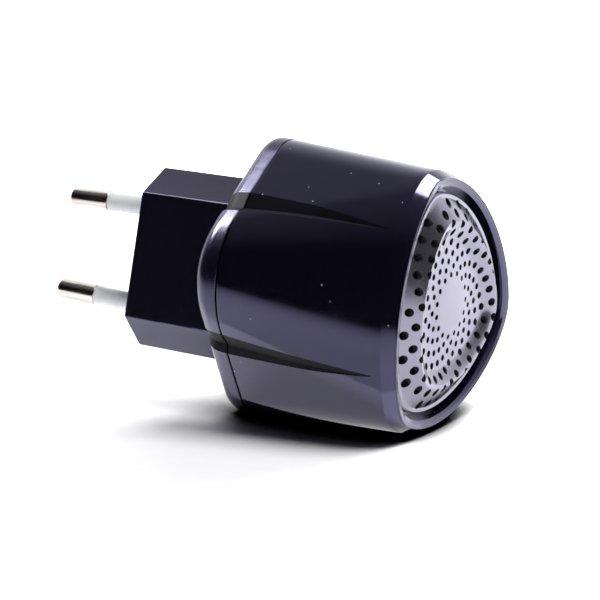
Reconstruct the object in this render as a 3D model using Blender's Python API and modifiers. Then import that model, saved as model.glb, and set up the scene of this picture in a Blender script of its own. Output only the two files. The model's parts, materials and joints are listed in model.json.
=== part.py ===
"""An ultrasonic pest repeller that plugs straight into a European mains socket.

The repeller's own axes: +X runs from the plug to the grille, with zero on the plug's engagement face,
+Z runs along the line of the two pins, and -Y is the side that shows when it lies on a table.
An empty at the root turns it from those axes into the pose in which it lies: rolled a little on its side,
with the nose low, because the barrel is thinner at the front.
Sections of the case are given by the distance from the axis to the tangent line whose normal points at an
angle: zero degrees points along -Y, and ninety degrees along +Z.
"""

import math

import bmesh
import bpy
import numpy as np
from mathutils import Matrix, Vector

MM = 0.001
GAP = 0.3                    # clearance between neighbouring pieces

LYING_ROLL = -12.0           # degrees about the repeller's own axis
LYING_PITCH = 4.0            # degrees, nose down

# plug body, a long hexagon
PLUG_WIDTH = 35.0            # from side ridge to side ridge, along the line of the pins
PLUG_FLAT = 24.0             # width of each broad face
PLUG_THICKNESS = 13.7
PLUG_DRAFT = 0.012           # growth of the section for each millimetre towards the cap
PLUG_WALL = 2.2

# pins
PIN_RADIUS = 2.0
PIN_LENGTH = 19.0
PIN_BARE = 8.6               # bare length at the tip
PIN_CORE_RADIUS = 1.25
PIN_INNER_END = 10.5
PIN_SPACING_FACE = 18.6      # between the pins' centres at the engagement face
PIN_SPACING_TIP = 17.6
SLEEVE_RADIUS = 1.9
SLEEVE_BORE = 1.55

# case
CAP_BACK = 21.8
SEAM = 27.1                  # where the cap meets the barrel
SHOULDER = 61.8              # where the barrel's side turns into the front rim
RIM_CREST = 63.5
RIM_EDGE = 62.8              # inner edge of the rim
LEDGE_FRONT = 60.6           # ledge that the grille sits on
LEDGE_BACK = 59.2
WALL = 2.2
CAP_EDGE_ROUNDING = 3.2

REAR_RIDGE = (16.5, 9.15)    # distance and radius of the arcs at the top and bottom of the rear section
REAR_FLANK = (6.5, 15.5)     # the same for the arcs of its two flanks
FRONT_SIZE = 23.7            # mean half-width of the front section
FRONT_LOBE = 2.1             # how far its three corners stand out and its three sides lie in
RIM_CREST_SIZE = 22.5
RIM_EDGE_SIZE = 20.9
OPENING_LOBE = 1.8
LEDGE_SIZE = 17.8

# the shallow valleys that run forward along both edges of each flank
VALLEY_OUTER = 46.8          # degrees, where a valley starts
VALLEY_BOTTOM = 40.4
VALLEY_INNER = 30.4
VALLEY_DEPTH = 0.95
VALLEY_END = 58.0            # distance at which it has faded out
HEX_CORNER = math.degrees(math.atan2(PLUG_FLAT / 2, PLUG_THICKNESS / 2))

# grille
GRILLE_SIZE = 19.9
GRILLE_LOBE = 1.9
GRILLE_LEVEL = 63.5          # front of the flat disc in its middle
GRILLE_DISC = 5.0
GRILLE_DISH = 0.56           # where the shallow dish ends, as a fraction of the outline
GRILLE_DISH_DEPTH = 0.3
GRILLE_CREST = 0.76          # the same for the crest
GRILLE_CREST_RISE = 1.3
GRILLE_LIP = 0.95
GRILLE_LIP_DROP = 1.2
GRILLE_WALL = 1.1
HOLE_RINGS = 14
HOLES_PER_RING = 15
HOLE_FIRST_ANGLE = 71.2      # degrees, of a hole in the innermost ring
HOLE_RING_TURN = 10.0        # degrees that each ring is turned from the one inside it
HOLE_FIRST_RING = 5.75       # radius of the innermost ring
HOLE_RING_STEP = 1.42        # to the next ring, and slightly less for each one after it
HOLE_RING_POWER = 0.9
HOLE_SMALLEST = 0.44         # radius of the innermost holes
HOLE_LARGEST = 0.82

# electronics
BOARD_BACK = 24.8
BOARD_FRONT = 49.5
BOARD_HALF_WIDTH = 14.0
BOARD_THICKNESS = 1.6
BOARD_LEVEL = 2.4            # the board's side that carries the tall parts
SOUNDER_RADIUS = 13.5

for leftover in list(bpy.data.objects):
    bpy.data.objects.remove(leftover, do_unlink=True)

PART = bpy.data.collections.new("ultrasonic_pest_repeller")
CUTTERS = bpy.data.collections.new("cutters")
ROOT = bpy.data.objects.new("lying_pose", None)


# ---------------------------------------------------------------- materials

def principled(name, colour, roughness, metallic=0.0):
    mat = bpy.data.materials.new(name)
    mat.use_nodes = True
    shader = mat.node_tree.nodes["Principled BSDF"]
    shader.inputs["Base Color"].default_value = (*colour, 1.0)
    shader.inputs["Roughness"].default_value = roughness
    shader.inputs["Metallic"].default_value = metallic
    mat.diffuse_color = (*colour, 1.0)
    return mat


# ---------------------------------------------------------------- sections

def outline_radius(tangent_distance, angle):
    """Distance from the axis to a convex outline, whose tangent lines are given by their distance."""
    normals = np.radians(np.arange(-80.0, 80.0, 0.25) + angle)
    return float(np.min(tangent_distance(normals) / np.cos(normals - math.radians(angle))))


def rear_tangent(normal):
    ridge = REAR_RIDGE[0] * np.abs(np.sin(normal)) + REAR_RIDGE[1]
    flank = REAR_FLANK[0] * np.abs(np.cos(normal)) + REAR_FLANK[1]
    return np.maximum(ridge, flank)


def lobed_tangent(size, lobe):
    """Three rounded corners, at 60, 180 and 300 degrees, and three bowed sides between them."""
    return lambda normal: size - lobe * np.cos(3 * normal)


def hexagon_radius(angle, grow):
    """The plug's section, all sides moved out by grow."""
    ridge = PLUG_WIDTH / 2
    corner = Vector((PLUG_THICKNESS / 2, PLUG_FLAT / 2))
    slope = Vector((ridge - corner.y, corner.x)).normalized()
    cos, sin = abs(math.cos(math.radians(angle))), abs(math.sin(math.radians(angle)))
    broad = (corner.x + grow) / max(cos, 1e-6)
    slanted = (ridge * slope.y + grow) / (cos * slope.x + sin * slope.y)
    return min(broad, slanted)


def section_angles():
    """Angles of a ring's points: the hexagon's corners and the valleys' edges each have a point."""
    keys = (0.0, VALLEY_INNER, VALLEY_BOTTOM, VALLEY_OUTER, HEX_CORNER, 90.0)
    steps = (4, 2, 1, 2, 4)
    quarter = []
    for start, end, count in zip(keys, keys[1:], steps):
        quarter += [start + (end - start) * i / count for i in range(count)]
    quarter.append(keys[-1])
    half = quarter + [180.0 - a for a in reversed(quarter[:-1])]
    return half + [360.0 - a for a in reversed(half[1:-1])]


ANGLES = section_angles()


def valley_cut(angle, x):
    """Depth of the valleys at an angle and a distance along the case."""
    folded = abs((angle + 90.0) % 180.0 - 90.0)
    depth = VALLEY_DEPTH * max(0.0, (VALLEY_END - x) / (VALLEY_END - SEAM))
    if folded >= VALLEY_OUTER or folded <= VALLEY_INNER:
        return 0.0
    if folded > VALLEY_BOTTOM:
        return depth * (VALLEY_OUTER - folded) / (VALLEY_OUTER - VALLEY_BOTTOM)
    return depth * (folded - VALLEY_INNER) / (VALLEY_BOTTOM - VALLEY_INNER)


def case_radii(x, inward=0.0):
    """The case's section: its tangent lines move evenly from the rear section's to the front's."""
    share = (x - SEAM) / (SHOULDER - SEAM)
    front_tangent = lobed_tangent(FRONT_SIZE, FRONT_LOBE)

    def tangent(normal):
        return (1 - share) * rear_tangent(normal) + share * front_tangent(normal) - inward

    return [outline_radius(tangent, a) - valley_cut(a, x) for a in ANGLES]


def ring(x, radii):
    points = []
    for radius, angle in zip(radii, ANGLES):
        turn = math.radians(angle)
        points.append((x * MM, -radius * math.cos(turn) * MM, radius * math.sin(turn) * MM))
    return points


def lobed_ring(x, size, lobe):
    return ring(x, [outline_radius(lobed_tangent(size, lobe), a) for a in ANGLES])


def hexagon_ring(x, inward=0.0):
    grow = PLUG_DRAFT * x - inward
    return ring(x, [hexagon_radius(a, grow) for a in ANGLES])


# ---------------------------------------------------------------- objects

def place(name, mesh, mat, location=(0, 0, 0), rotation=(0, 0, 0)):
    obj = bpy.data.objects.new(name, mesh)
    obj.location = [value * MM for value in location]
    obj.rotation_euler = [math.radians(value) for value in rotation]
    obj.parent = ROOT
    mesh.materials.append(mat)
    PART.objects.link(obj)
    return obj


def smooth(mesh, angle=30.0):
    mesh.shade_smooth()
    mesh.set_sharp_from_angle(angle=math.radians(angle))


def loft(name, rings, mat, endless=False):
    """Skin through rings of points. Its two ends are closed, or joined to each other when endless."""
    bm = bmesh.new()
    rows = [[bm.verts.new(point) for point in points] for points in rings]
    pairs = list(zip(rows, rows[1:]))
    if endless:
        pairs.append((rows[-1], rows[0]))
    else:
        bm.faces.new(list(reversed(rows[0])))
        bm.faces.new(rows[-1])
    for near, far in pairs:
        for i, corner in enumerate(near):
            j = (i + 1) % len(near)
            bm.faces.new((corner, near[j], far[j], far[i]))
    bmesh.ops.recalc_face_normals(bm, faces=bm.faces)
    mesh = bpy.data.meshes.new(name)
    bm.to_mesh(mesh)
    bm.free()
    smooth(mesh)
    return place(name, mesh, mat)


def box(name, size, centre, mat, bevel=0.0, rotation=(0, 0, 0)):
    bm = bmesh.new()
    bmesh.ops.create_cube(bm, size=MM, matrix=Matrix.Diagonal((*size, 1.0)))
    mesh = bpy.data.meshes.new(name)
    bm.to_mesh(mesh)
    bm.free()
    obj = place(name, mesh, mat, centre, rotation)
    if bevel:
        edge = obj.modifiers.new("rounded_edges", "BEVEL")
        edge.width = bevel * MM
        edge.segments = 2
    return obj


def turned(name, profile, mat, location=(0, 0, 0), rotation=(0, 90, 0), steps=32):
    """Profile points are (radius, height), down the outer side from the top. Height runs along +X."""
    bm = bmesh.new()
    verts = [bm.verts.new((radius * MM, 0.0, height * MM)) for radius, height in profile]
    for first, second in zip(verts, verts[1:]):
        bm.edges.new((first, second))
    if profile[0][0] > 0.0:
        bm.edges.new((verts[-1], verts[0]))
    mesh = bpy.data.meshes.new(name)
    bm.to_mesh(mesh)
    bm.free()
    obj = place(name, mesh, mat, location, rotation)
    screw = obj.modifiers.new("turned", "SCREW")
    screw.steps = steps
    screw.render_steps = steps
    screw.use_merge_vertices = True
    screw.merge_threshold = 0.00001
    return obj


def wire(name, points, radius, mat):
    curve = bpy.data.curves.new(name, "CURVE")
    curve.dimensions = "3D"
    curve.bevel_depth = radius * MM
    curve.bevel_resolution = 2
    curve.use_fill_caps = True
    spline = curve.splines.new("POLY")
    spline.points.add(len(points) - 1)
    for knot, point in zip(spline.points, points):
        knot.co = (*[value * MM for value in point], 1.0)
    return place(name, curve, mat)


def bent(start, handle_a, handle_b, end, count=10):
    """Points along a smooth curve between two ends."""
    ends = [Vector(p) for p in (start, handle_a, handle_b, end)]
    points = []
    for i in range(count + 1):
        t = i / count
        weights = ((1 - t) ** 3, 3 * t * (1 - t) ** 2, 3 * t * t * (1 - t), t ** 3)
        points.append(sum((w * p for w, p in zip(weights, ends)), Vector()))
    return points


def cutter(name, mesh):
    obj = bpy.data.objects.new(name, mesh)
    obj.parent = ROOT
    obj.hide_render = True
    obj.display_type = "WIRE"
    CUTTERS.objects.link(obj)
    return obj


def boolean(obj, other, operation="DIFFERENCE"):
    modifier = obj.modifiers.new(operation.lower(), "BOOLEAN")
    modifier.operation = operation
    modifier.object = other
    modifier.solver = "EXACT"


def rod_into(bm, start, end, radius, sides):
    """Add a closed rod between two points to a mesh."""
    start, end = Vector(start) * MM, Vector(end) * MM
    axis = end - start
    turn = axis.to_track_quat("Z", "Y").to_matrix().to_4x4()
    middle = Matrix.Translation((start + end) / 2) @ turn
    bmesh.ops.create_cone(bm, cap_ends=True, segments=sides, radius1=radius * MM, radius2=radius * MM,
                          depth=axis.length, matrix=middle)


# ---------------------------------------------------------------- case

def pin_height(x):
    """Distance of a pin's centre from the axis: the pins lean towards each other at their tips."""
    lean = (PIN_SPACING_FACE - PIN_SPACING_TIP) / 2 / PIN_LENGTH
    return PIN_SPACING_FACE / 2 + lean * x


def make_rear_cap(mat):
    rings = [hexagon_ring(0.0, 0.5), hexagon_ring(0.35), hexagon_ring(CAP_BACK)]
    rings.append(ring(CAP_BACK, case_radii(CAP_BACK, CAP_EDGE_ROUNDING)))
    for step in (30, 60, 90):
        turn = math.radians(step)
        x = CAP_BACK + CAP_EDGE_ROUNDING * (1 - math.cos(turn))
        rings.append(ring(x, case_radii(x, CAP_EDGE_ROUNDING * (1 - math.sin(turn)))))
    rings.append(ring(SEAM - GAP / 2, case_radii(SEAM)))
    rings.append(ring(SEAM - GAP / 2, case_radii(SEAM, WALL)))
    floor = CAP_BACK + WALL
    rings.append(ring(floor, case_radii(SEAM, WALL + 1.0)))
    rings.append(hexagon_ring(floor, PLUG_WALL))
    rings.append(hexagon_ring(PLUG_WALL, PLUG_WALL))
    cap = loft("rear_cap", rings, mat)
    bm = bmesh.new()
    for side in (1, -1):
        near, far = -1.0, PLUG_WALL + 1.0
        rod_into(bm, (near, 0, side * pin_height(near)), (far, 0, side * pin_height(far)),
                 SLEEVE_RADIUS + GAP, 24)
    holes = bpy.data.meshes.new("pin_holes")
    bm.to_mesh(holes)
    bm.free()
    boolean(cap, cutter("pin_holes", holes))
    return cap


def make_front_shell(mat):
    start = SEAM + GAP / 2
    rings = [ring(x, case_radii(x)) for x in (start, 36.0, 45.0, 52.0, VALLEY_END, SHOULDER)]
    middle = (FRONT_SIZE + RIM_CREST_SIZE) / 2 + 0.35
    rings.append(lobed_ring(RIM_CREST - 0.45, middle, FRONT_LOBE))
    rings.append(lobed_ring(RIM_CREST, RIM_CREST_SIZE, FRONT_LOBE))
    rings.append(lobed_ring(RIM_EDGE, RIM_EDGE_SIZE, OPENING_LOBE))
    rings.append(lobed_ring(LEDGE_FRONT, RIM_EDGE_SIZE, OPENING_LOBE))
    rings.append(lobed_ring(LEDGE_FRONT, LEDGE_SIZE, OPENING_LOBE))
    rings.append(lobed_ring(LEDGE_BACK, LEDGE_SIZE, OPENING_LOBE))
    rings += [ring(x, case_radii(x, WALL)) for x in (LEDGE_BACK, 45.0, start)]
    return loft("front_shell", rings, mat, endless=True)


# ---------------------------------------------------------------- grille

def grille_height(share, radius):
    """Front of the grille, above its middle disc: a dish, a crest round it, and a slope to the lip."""
    if radius <= GRILLE_DISC:
        return 0.0
    if share <= GRILLE_DISH:
        reach = radius / share * GRILLE_DISH
        return -GRILLE_DISH_DEPTH * math.sin(math.pi / 2 * min(1.0, 3 * (radius - GRILLE_DISC) / reach))
    if share <= GRILLE_CREST:
        climb = (share - GRILLE_DISH) / (GRILLE_CREST - GRILLE_DISH)
        rise = GRILLE_CREST_RISE + GRILLE_DISH_DEPTH
        return rise * (1 - math.cos(math.pi * climb)) / 2 - GRILLE_DISH_DEPTH
    if share >= GRILLE_LIP:
        return -GRILLE_LIP_DROP
    fall = (share - GRILLE_CREST) / (GRILLE_LIP - GRILLE_CREST)
    return GRILLE_CREST_RISE - (GRILLE_CREST_RISE + GRILLE_LIP_DROP) * fall


def grille_radii(share):
    tangent = lobed_tangent(GRILLE_SIZE, GRILLE_LOBE)
    return [share * outline_radius(tangent, a) for a in ANGLES]


def grille_ring(share, drop):
    points = []
    for radius, angle in zip(grille_radii(share), ANGLES):
        turn = math.radians(angle)
        x = GRILLE_LEVEL + grille_height(share, radius) - drop
        points.append((x * MM, -radius * math.cos(turn) * MM, radius * math.sin(turn) * MM))
    return points


def disc_ring(drop):
    return ring(GRILLE_LEVEL - drop, [GRILLE_DISC] * len(ANGLES))


def grille_holes():
    """Rods for all the holes, in rings that are each turned a little from the one inside them."""
    bm = bmesh.new()
    for row in range(HOLE_RINGS):
        radius = HOLE_FIRST_RING + HOLE_RING_STEP * row ** HOLE_RING_POWER
        hole = HOLE_SMALLEST + (HOLE_LARGEST - HOLE_SMALLEST) * row / (HOLE_RINGS - 1)
        for i in range(HOLES_PER_RING):
            angle = HOLE_FIRST_ANGLE + HOLE_RING_TURN * row + i * 360.0 / HOLES_PER_RING
            limit = outline_radius(lobed_tangent(GRILLE_SIZE, GRILLE_LOBE), angle)
            if radius + hole > limit * GRILLE_LIP:
                continue
            y = -radius * math.cos(math.radians(angle))
            z = radius * math.sin(math.radians(angle))
            rod_into(bm, (LEDGE_FRONT - 1.0, y, z), (GRILLE_LEVEL + 3.0, y, z), hole, 6)
    mesh = bpy.data.meshes.new("grille_holes")
    bm.to_mesh(mesh)
    bm.free()
    return mesh


def make_grille(mat):
    shares = (0.40, GRILLE_DISH, 0.66, GRILLE_CREST, 0.86, GRILLE_LIP, 1.0)
    front = [disc_ring(0.0)] + [grille_ring(share, 0.0) for share in shares]
    back = [grille_ring(share, GRILLE_WALL) for share in reversed(shares)] + [disc_ring(GRILLE_WALL)]
    grille = loft("grille", front + back, mat)
    boolean(grille, cutter("grille_holes", grille_holes()))
    return grille


# ---------------------------------------------------------------- plug pins

def make_pin(side, name, metal, plastic):
    lean = math.degrees(math.atan2((PIN_SPACING_FACE - PIN_SPACING_TIP) / 2, PIN_LENGTH))
    location = (0.0, 0.0, side * PIN_SPACING_FACE / 2)
    rotation = (0.0, 90.0 - side * lean, 0.0)
    bare_end = PIN_BARE - PIN_LENGTH
    tip = []
    for step in (90, 60, 30, 0):
        turn = math.radians(step)
        tip.append((PIN_RADIUS - 1.2 + 1.2 * math.cos(turn), -PIN_LENGTH + 1.2 * (1 - math.sin(turn))))
    metal_profile = [(0.0, PIN_INNER_END), (PIN_CORE_RADIUS, PIN_INNER_END), (PIN_CORE_RADIUS, bare_end),
                     (PIN_RADIUS, bare_end)]
    metal_profile += list(reversed(tip)) + [(0.0, -PIN_LENGTH)]
    turned(name, metal_profile, metal, location, rotation, steps=24)
    back = bare_end + GAP
    sleeve_profile = [(SLEEVE_RADIUS, PLUG_WALL), (SLEEVE_RADIUS, back + 1.3), (PIN_RADIUS + 0.05, back + 1.0),
                      (PIN_RADIUS + 0.05, back), (SLEEVE_BORE, back), (SLEEVE_BORE, PLUG_WALL)]
    turned(name + "_sleeve", sleeve_profile, plastic, location, rotation, steps=24)


def make_pin_carrier(mat):
    start = PLUG_WALL + GAP
    length = 5.0
    block = box("pin_carrier", (length, 7.4, 22.4), (start + length / 2, 0, 0), mat, bevel=0.5)
    bm = bmesh.new()
    for side in (1, -1):
        far = start + length + 1.0
        rod_into(bm, (0.0, 0, side * pin_height(0.0)), (far, 0, side * pin_height(far)),
                 PIN_CORE_RADIUS + GAP, 16)
    mesh = bpy.data.meshes.new("carrier_bores")
    bm.to_mesh(mesh)
    bm.free()
    boolean(block, cutter("carrier_bores", mesh))
    return block


# ---------------------------------------------------------------- electronics

def make_board(mat):
    length = BOARD_FRONT - BOARD_BACK
    centre = ((BOARD_BACK + BOARD_FRONT) / 2, BOARD_LEVEL + BOARD_THICKNESS / 2, 0)
    box("circuit_board", (length, BOARD_THICKNESS, 2 * BOARD_HALF_WIDTH), centre, mat)


def on_tall_side(height):
    """Y of the middle of a part that stands on the board's tall side."""
    return BOARD_LEVEL - GAP - height / 2


def make_mains_leads(mats):
    for side, name in ((1, "live_lead"), (-1, "neutral_lead")):
        height = side * pin_height(PIN_INNER_END)
        start = (PIN_INNER_END + GAP, 0, height)
        end = (28.5, BOARD_LEVEL - GAP - 0.75, side * 11.5)
        points = bent(start, (17.0, 0, height), (22.0, 0.4, side * 11.5), end)
        wire(name, points, 0.7, mats[name])


def make_box_parts(mats):
    box("film_capacitor", (12.0, 6.5, 7.0), (36.0, on_tall_side(6.5), 6.5), mats["capacitor_box"], 0.6)
    back = BOARD_LEVEL + BOARD_THICKNESS + GAP
    box("bridge_rectifier", (6.5, 2.4, 4.6), (30.5, back + 1.2, 5.0), mats["chip_resin"], 0.3)
    chip = box("oscillator_chip", (5.0, 1.6, 4.0), (39.0, back + 1.0, -2.0), mats["chip_resin"], 0.2)
    bm = bmesh.new()
    for i in range(4):
        x = -1.905 + 1.27 * i
        for side in (1, -1):
            middle = Matrix.Translation((x * MM, -0.55 * MM, side * 2.4 * MM))
            bmesh.ops.create_cube(bm, size=MM, matrix=middle @ Matrix.Diagonal((0.42, 0.3, 1.4, 1.0)))
    mesh = bpy.data.meshes.new("chip_legs")
    bm.to_mesh(mesh)
    bm.free()
    legs = cutter("chip_legs", mesh)
    legs.location = chip.location
    boolean(chip, legs, "UNION")


def make_round_parts(mats):
    can = [(0.0, 5.5), (3.2, 5.5), (3.5, 5.2), (3.5, -4.2), (3.3, -4.5), (3.5, -4.8), (3.5, -5.5), (0.0, -5.5)]
    turned("smoothing_capacitor", can, mats["can_sleeve"], (36.0, on_tall_side(7.0), -8.6), steps=24)
    body = [(0.0, 8.0), (0.4, 8.0), (0.4, 4.2), (1.3, 4.0), (1.5, 3.4), (1.2, 2.8), (1.2, -2.8), (1.5, -3.4),
            (1.3, -4.0), (0.4, -4.2), (0.4, -8.0), (0.0, -8.0)]
    turned("fusible_resistor", body, mats["resistor_coat"], (37.5, on_tall_side(3.0), -0.4), steps=16)
    diode = [(0.0, 5.0), (0.3, 5.0), (0.3, 2.0), (0.9, 2.0), (0.9, -2.0), (0.3, -2.0), (0.3, -5.0), (0.0, -5.0)]
    back = BOARD_LEVEL + BOARD_THICKNESS + GAP
    turned("zener_diode", diode, mats["glass_orange"], (36.0, back + 0.9, -9.0), steps=16)
    half = [(0.0, 2.4), (2.2, 2.4), (2.2, -2.4), (0.0, -2.4)]
    turned("driver_transistor", half, mats["chip_resin"], (46.5, on_tall_side(4.4), -9.5), steps=20)


def make_coil(mats):
    """A drum core that stands on the board, and the winding in its waist."""
    centre = (46.0, on_tall_side(7.0), 6.5)
    core = [(0.0, 3.5), (3.2, 3.5), (3.2, 2.5), (1.5, 2.5), (1.5, -2.5), (3.2, -2.5), (3.2, -3.5), (0.0, -3.5)]
    turned("coil_core", core, mats["ferrite"], centre, (90, 0, 0), steps=24)
    winding = [(2.8, 2.2), (2.8, -2.2), (1.8, -2.2), (1.8, 2.2)]
    turned("coil_winding", winding, mats["magnet_wire"], centre, (90, 0, 0), steps=24)


def make_sounder(mats):
    seat = 54.4
    wall = SOUNDER_RADIUS + 0.5
    holder = [(17.0, seat + 2.4), (17.0, seat - 1.8), (12.0, seat - 1.8), (12.0, seat), (wall, seat),
              (wall, seat + 2.4)]
    turned("sounder_holder", holder, mats["holder_plastic"], steps=48)
    disc = [(0.0, seat + GAP + 0.4), (SOUNDER_RADIUS, seat + GAP + 0.4), (SOUNDER_RADIUS, seat + GAP),
            (0.0, seat + GAP)]
    turned("sounder_disc", disc, mats["brass_disc"], steps=48)
    ceramic = [(0.0, seat), (9.5, seat), (9.5, seat - 0.4), (0.0, seat - 0.4)]
    turned("piezo_ceramic", ceramic, mats["piezo_silver"], steps=40)
    foam_back = seat + 2.4 + GAP
    foam = [(16.6, foam_back + 1.0), (16.6, foam_back), (14.4, foam_back), (14.4, foam_back + 1.0)]
    turned("foam_ring", foam, mats["foam"], steps=48)
    cloth_back = foam_back + 1.0 + GAP
    cloth = [(0.0, cloth_back + 0.4), (17.4, cloth_back + 0.4), (17.4, cloth_back), (0.0, cloth_back)]
    turned("dust_screen", cloth, mats["screen_cloth"], steps=48)
    for side, name in ((1, "sounder_lead_a"), (-1, "sounder_lead_b")):
        start = (47.5, BOARD_LEVEL - GAP - 0.5, side * 1.6)
        end = (seat - 0.4 - GAP, -1.0, side * 4.0)
        points = bent(start, (50.0, 0.5, side * 1.6), (51.0, -1.0, side * 4.0), end)
        wire(name, points, 0.45, mats[name])


# ---------------------------------------------------------------- assembly

def make_materials():
    return {
        "shell_plastic": principled("shell_plastic", (0.006, 0.005, 0.013), 0.22),
        "grille_plastic": principled("grille_plastic", (0.56, 0.54, 0.62), 0.3, 0.6),
        "pin_metal": principled("pin_metal", (0.62, 0.58, 0.55), 0.25, 1.0),
        "sleeve_plastic": principled("sleeve_plastic", (0.82, 0.83, 0.85), 0.4),
        "carrier_plastic": principled("carrier_plastic", (0.75, 0.72, 0.62), 0.5),
        "live_lead": principled("live_lead", (0.20, 0.08, 0.03), 0.5),
        "neutral_lead": principled("neutral_lead", (0.03, 0.10, 0.35), 0.5),
        "sounder_lead_a": principled("sounder_lead_a", (0.50, 0.02, 0.02), 0.5),
        "sounder_lead_b": principled("sounder_lead_b", (0.02, 0.02, 0.02), 0.5),
        "board_laminate": principled("board_laminate", (0.04, 0.20, 0.06), 0.45),
        "capacitor_box": principled("capacitor_box", (0.50, 0.30, 0.03), 0.4),
        "chip_resin": principled("chip_resin", (0.02, 0.02, 0.02), 0.6),
        "can_sleeve": principled("can_sleeve", (0.03, 0.03, 0.07), 0.35),
        "resistor_coat": principled("resistor_coat", (0.25, 0.35, 0.45), 0.5),
        "glass_orange": principled("glass_orange", (0.45, 0.12, 0.03), 0.1),
        "ferrite": principled("ferrite", (0.06, 0.06, 0.06), 0.7),
        "magnet_wire": principled("magnet_wire", (0.50, 0.20, 0.08), 0.3, 1.0),
        "holder_plastic": principled("holder_plastic", (0.05, 0.05, 0.05), 0.5),
        "brass_disc": principled("brass_disc", (0.70, 0.52, 0.22), 0.3, 1.0),
        "piezo_silver": principled("piezo_silver", (0.75, 0.75, 0.73), 0.4, 0.8),
        "foam": principled("foam", (0.03, 0.03, 0.03), 0.95),
        "screen_cloth": principled("screen_cloth", (0.01, 0.01, 0.01), 0.95),
    }


def lay_down():
    """Turn the repeller into its lying pose, and put its box's bottom centre on the origin."""
    ROOT.rotation_euler = (math.radians(LYING_ROLL), math.radians(LYING_PITCH), 0.0)
    bpy.context.view_layer.update()
    depsgraph = bpy.context.evaluated_depsgraph_get()
    corners = []
    for obj in PART.objects:
        if obj.type not in {"MESH", "CURVE"}:
            continue
        evaluated = obj.evaluated_get(depsgraph)
        mesh = evaluated.to_mesh()
        corners += [evaluated.matrix_world @ vertex.co for vertex in mesh.vertices]
        evaluated.to_mesh_clear()
    low = Vector([min(c[i] for c in corners) for i in range(3)])
    high = Vector([max(c[i] for c in corners) for i in range(3)])
    ROOT.location = (-(low.x + high.x) / 2, -(low.y + high.y) / 2, -low.z)
    bpy.context.view_layer.update()


def main():
    bpy.context.scene.collection.children.link(PART)
    bpy.context.scene.collection.children.link(CUTTERS)
    PART.objects.link(ROOT)
    mats = make_materials()
    make_rear_cap(mats["shell_plastic"])
    make_front_shell(mats["shell_plastic"])
    make_grille(mats["grille_plastic"])
    make_pin(1, "upper_pin", mats["pin_metal"], mats["sleeve_plastic"])
    make_pin(-1, "lower_pin", mats["pin_metal"], mats["sleeve_plastic"])
    make_pin_carrier(mats["carrier_plastic"])
    make_board(mats["board_laminate"])
    make_mains_leads(mats)
    make_box_parts(mats)
    make_round_parts(mats)
    make_coil(mats)
    make_sounder(mats)
    lay_down()


main()
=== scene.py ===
import json
import math

import bmesh
import bpy
import numpy as np
from mathutils import Euler, Matrix, Vector


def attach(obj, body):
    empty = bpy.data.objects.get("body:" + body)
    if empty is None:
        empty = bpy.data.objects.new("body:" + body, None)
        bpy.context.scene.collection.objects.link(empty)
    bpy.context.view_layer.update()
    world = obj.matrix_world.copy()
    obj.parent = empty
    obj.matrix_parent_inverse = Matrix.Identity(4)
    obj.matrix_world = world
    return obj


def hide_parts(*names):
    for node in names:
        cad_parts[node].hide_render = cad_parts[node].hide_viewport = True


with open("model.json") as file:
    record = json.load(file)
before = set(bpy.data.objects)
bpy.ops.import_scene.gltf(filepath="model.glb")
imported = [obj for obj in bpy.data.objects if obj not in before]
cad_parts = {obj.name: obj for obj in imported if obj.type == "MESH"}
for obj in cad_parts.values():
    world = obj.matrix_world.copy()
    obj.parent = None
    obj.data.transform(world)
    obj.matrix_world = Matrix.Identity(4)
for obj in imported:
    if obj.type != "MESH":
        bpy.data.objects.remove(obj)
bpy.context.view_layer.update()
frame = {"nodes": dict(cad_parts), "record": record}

MM = 0.001

# ---------------------------------------------------------------- where the repeller lies
# Its own axes: +X from the plug's engagement face to the grille, +Z along the line of the two pins.
# The engagement face's mount gives the place of their origin.

LYING_ROLL = -12.0
LYING_PITCH = 4.0
SOCKET_FACE = Vector(frame["record"]["mounts"][0]["pos_m"])
LYING_TURN = Euler((math.radians(LYING_ROLL), math.radians(LYING_PITCH), 0.0), "XYZ")
POSE = Matrix.Translation(SOCKET_FACE) @ LYING_TURN.to_matrix().to_4x4()

# ---------------------------------------------------------------- sizes, in millimetres

PLUG_WIDTH = 35.0
PLUG_FLAT = 24.6
PLUG_THICKNESS = 13.7
PLUG_DRAFT = 0.012
PLUG_WALL = 2.2
PLUG_EDGE = 0.4              # rounding of the plug body's long edges
FACE_EDGE = 0.5              # rounding round the engagement face
CAP_BACK = 21.8
CAP_EDGE_ROUNDING = 3.2
SEAM = 27.1
SEAM_GAP = 0.3
SEAM_EDGE = 0.22             # rounding of both moulded edges that meet at the seam
SHOULDER = 61.8
CHAMFER_START = 60.7         # flat chamfer between the barrel's side and the crest of the rim
CHAMFER_INWARD = 1.0
RIM_CREST = 63.5
RIM_EDGE = 62.8
LEDGE_FRONT = 60.6
LEDGE_BACK = 59.2
WALL = 2.2

REAR_RIDGE = (16.5, 9.15)
REAR_FLANK = (6.5, 15.5)
FINE_INSET = 0.13            # keeps these rounder outlines inside the coarser CAD ones
FRONT_SIZE = 23.7
FRONT_LOBE = 2.1
RIM_CREST_SIZE = 22.5
RIM_EDGE_SIZE = 20.9
OPENING_LOBE = 1.8
LEDGE_SIZE = 17.8

# two tapering valleys on each face, as the angles of their edges at the seam and of their tips
VALLEY_OUTER = 46.8
VALLEY_INNER = 33.5
VALLEY_TIPS = (31.5, 36.5)   # of the upper pair and of the lower pair
VALLEY_WALL = 0.3            # share of the valley's width that its steep wall takes
VALLEY_DEPTH = 0.9
VALLEY_END = 59.0

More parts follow.
